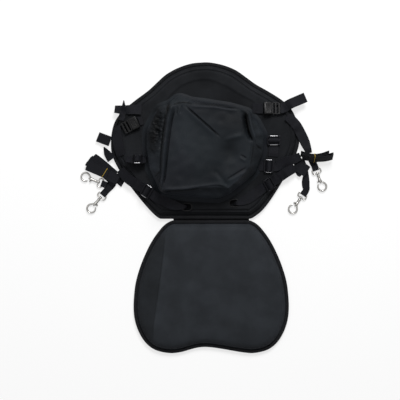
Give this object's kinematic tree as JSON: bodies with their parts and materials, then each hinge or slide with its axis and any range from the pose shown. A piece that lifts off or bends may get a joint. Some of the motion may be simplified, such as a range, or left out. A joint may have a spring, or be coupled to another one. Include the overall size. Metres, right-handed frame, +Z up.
{
  "type": "kayak seat",
  "caption": "Folding padded kayak seat laid open with its rear side up: backrest with a stuffed storage bag, seat pad, adjuster straps and swivelling snap hooks.",
  "frame": {"origin": "on the floor under the middle of the unfolded seat's bounding box", "axes": "+Y runs from the seat pad to the top of the backrest, +X to the right seen from above, +Z up from the front faces to the rear side with the bag"},
  "size_m": [0.6327, 0.7297, 0.0861],
  "materials": {
    "pad_cloth": "charcoal black woven nylon over foam, matt",
    "tape_cloth": "black folded edge tape, matt",
    "bag_cloth": "black crumpled nylon with a soft sheen",
    "webbing": "black woven strap webbing",
    "buckle_plastic": "black moulded plastic, slightly shiny",
    "slide_metal": "black coated wire and plate, shiny",
    "hook_metal": "bright nickel plating",
    "tie_rubber": "yellow elastic"
  },
  "bodies": {
    "back": {"back_edge_tape": "tape_cloth", "back_pad": "pad_cloth", "hinge_seam": "tape_cloth", "left_bag_strap": "webbing", "left_buckle_plug": "buckle_plastic", "left_buckle_socket": "buckle_plastic", "left_bundle": "webbing", "left_lower_hook_strap": "webbing", "left_lower_slide": "slide_metal", "left_lower_strap": "webbing", "left_lower_tail": "webbing", "left_middle_slide": "slide_metal", "left_middle_strap": "webbing", "left_middle_tail": "webbing", "left_strap_tail": "webbing", "left_tie": "tie_rubber", "left_upper_hook_strap": "webbing", "left_upright_strap": "webbing", "left_wing_strap": "webbing", "right_bag_strap": "webbing", "right_buckle_plug": "buckle_plastic", "right_buckle_socket": "buckle_plastic", "right_bundle": "webbing", "right_curl_slide": "slide_metal", "right_curled_strap": "webbing", "right_hank": "webbing", "right_lower_hook_strap": "webbing", "right_lower_slide": "slide_metal", "right_lower_strap": "webbing", "right_middle_strap": "webbing", "right_strap_tail": "webbing", "right_tie": "tie_rubber", "right_upper_hook_strap": "webbing", "right_upper_slide": "slide_metal", "right_wing_strap": "webbing", "storage_bag": "bag_cloth"},
    "seat": {"seat_pad": "pad_cloth", "seat_edge_tape": "tape_cloth"},
    "right_upper_eye": {"right_upper_snap_eye": "hook_metal"},
    "right_upper_hook": {"right_upper_snap_hook": "hook_metal"},
    "right_upper_bolt": {"right_upper_snap_bolt": "hook_metal"},
    "right_lower_eye": {"right_lower_snap_eye": "hook_metal"},
    "right_lower_hook": {"right_lower_snap_hook": "hook_metal"},
    "right_lower_bolt": {"right_lower_snap_bolt": "hook_metal"},
    "left_upper_eye": {"left_upper_snap_eye": "hook_metal"},
    "left_upper_hook": {"left_upper_snap_hook": "hook_metal"},
    "left_upper_bolt": {"left_upper_snap_bolt": "hook_metal"},
    "left_lower_eye": {"left_lower_snap_eye": "hook_metal"},
    "left_lower_hook": {"left_lower_snap_hook": "hook_metal"},
    "left_lower_bolt": {"left_lower_snap_bolt": "hook_metal"}
  },
  "joints": [
    {"name": "seat_fold", "type": "hinge", "parent": "back", "child": "seat", "pos_m": [0, -0.0285, 0.003], "axis": [1, 0, 0], "range_deg": [0, 150]},
    {"name": "right_upper_eye_swing", "type": "hinge", "parent": "back", "child": "right_upper_eye", "pos_m": [0.2731, 0.0981, 0.0042], "axis": [0.9384, 0.3454, 0], "range_deg": [-75, 75]},
    {"name": "right_upper_swivel", "type": "hinge", "parent": "right_upper_eye", "child": "right_upper_hook", "pos_m": [0.2731, 0.0981, 0.0042], "axis": [0.3454, -0.9384, 0], "continuous": true},
    {"name": "right_upper_bolt_slide", "type": "slide", "parent": "right_upper_hook", "child": "right_upper_bolt", "axis": [-0.3454, 0.9384, 0], "range_m": [0, 0.007], "stiffness_N_per_m": 150, "springref_m": -0.004},
    {"name": "right_lower_eye_swing", "type": "hinge", "parent": "back", "child": "right_lower_eye", "pos_m": [0.2424, 0.0356, 0.0042], "axis": [0.8151, -0.5794, 0], "range_deg": [-75, 75]},
    {"name": "right_lower_swivel", "type": "hinge", "parent": "right_lower_eye", "child": "right_lower_hook", "pos_m": [0.2424, 0.0356, 0.0042], "axis": [-0.5794, -0.8151, 0], "continuous": true},
    {"name": "right_lower_bolt_slide", "type": "slide", "parent": "right_lower_hook", "child": "right_lower_bolt", "axis": [0.5794, 0.8151, 0], "range_m": [0, 0.007], "stiffness_N_per_m": 150, "springref_m": -0.004},
    {"name": "left_upper_eye_swing", "type": "hinge", "parent": "back", "child": "left_upper_eye", "pos_m": [-0.263, 0.0615, 0.0042], "axis": [-0.3687, -0.9296, 0], "range_deg": [-75, 75]},
    {"name": "left_upper_swivel", "type": "hinge", "parent": "left_upper_eye", "child": "left_upper_hook", "pos_m": [-0.263, 0.0615, 0.0042], "axis": [-0.9296, 0.3687, 0], "continuous": true},
    {"name": "left_upper_bolt_slide", "type": "slide", "parent": "left_upper_hook", "child": "left_upper_bolt", "axis": [0.9296, -0.3687, 0], "range_m": [0, 0.007], "stiffness_N_per_m": 150, "springref_m": -0.004},
    {"name": "left_lower_eye_swing", "type": "hinge", "parent": "back", "child": "left_lower_eye", "pos_m": [-0.2614, 0.0349, 0.0042], "axis": [0.7601, -0.6498, 0], "range_deg": [-75, 75]},
    {"name": "left_lower_swivel", "type": "hinge", "parent": "left_lower_eye", "child": "left_lower_hook", "pos_m": [-0.2614, 0.0349, 0.0042], "axis": [-0.6498, -0.7601, 0], "continuous": true},
    {"name": "left_lower_bolt_slide", "type": "slide", "parent": "left_lower_hook", "child": "left_lower_bolt", "axis": [0.6498, 0.7601, 0], "range_m": [0, 0.007], "stiffness_N_per_m": 150, "springref_m": -0.004}
  ]
}
